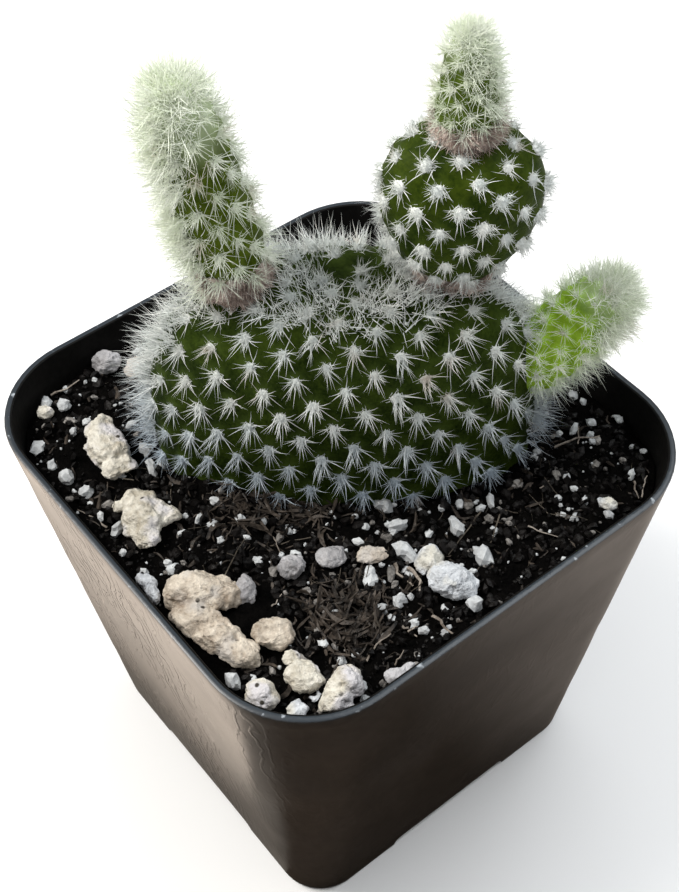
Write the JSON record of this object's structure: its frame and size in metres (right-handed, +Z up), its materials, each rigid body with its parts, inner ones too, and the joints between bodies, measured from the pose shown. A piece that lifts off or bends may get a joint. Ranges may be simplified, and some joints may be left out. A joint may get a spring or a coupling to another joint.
{
  "type": "potted bunny ears cactus",
  "caption": "Young bunny ears cactus with white-tufted pads and finger-shaped ears, planted in gritty soil with pale stones in a square black nursery pot.",
  "frame": {"origin": "middle of the pot's underside, on the surface that the pot stands on", "axes": "+Z up; X and Y along the pot's sides"},
  "size_m": [0.0636, 0.0636, 0.1124],
  "materials": {
    "pot_plastic": "satin black plastic",
    "soil": "loose dark potting mix",
    "stem_main": "waxy olive green skin with white spines",
    "stem_young": "pale green skin under white fuzz",
    "stem_middle": "waxy dark green skin with white spines",
    "stem_top": "green skin under white fuzz",
    "stem_bright": "bright yellow green skin with white spines",
    "stone_cream": "rough pumice",
    "stone_grey": "rough pumice",
    "stone_tan": "rough pumice",
    "stone_white": "rough perlite"
  },
  "bodies": {
    "root": {"pot": "pot_plastic", "soil": "soil", "pad_main": "stem_main", "pad_left_ear": "stem_young", "pad_middle": "stem_middle", "pad_top": "stem_top", "pad_right_ear": "stem_bright", "stone_01": "stone_cream", "stone_02": "stone_cream", "stone_03": "stone_tan", "stone_04": "stone_white", "stone_05": "stone_grey", "stone_06": "stone_tan", "stone_07": "stone_cream", "stone_08": "stone_cream", "stone_09": "stone_cream", "stone_10": "stone_white", "stone_11": "stone_white", "stone_12": "stone_cream", "stone_13": "stone_grey", "stone_14": "stone_grey", "stone_15": "stone_tan", "stone_16": "stone_white", "stone_17": "stone_white", "stone_18": "stone_grey", "stone_19": "stone_tan", "stone_20": "stone_white", "stone_21": "stone_grey", "stone_22": "stone_cream"}
  },
  "joints": []
}
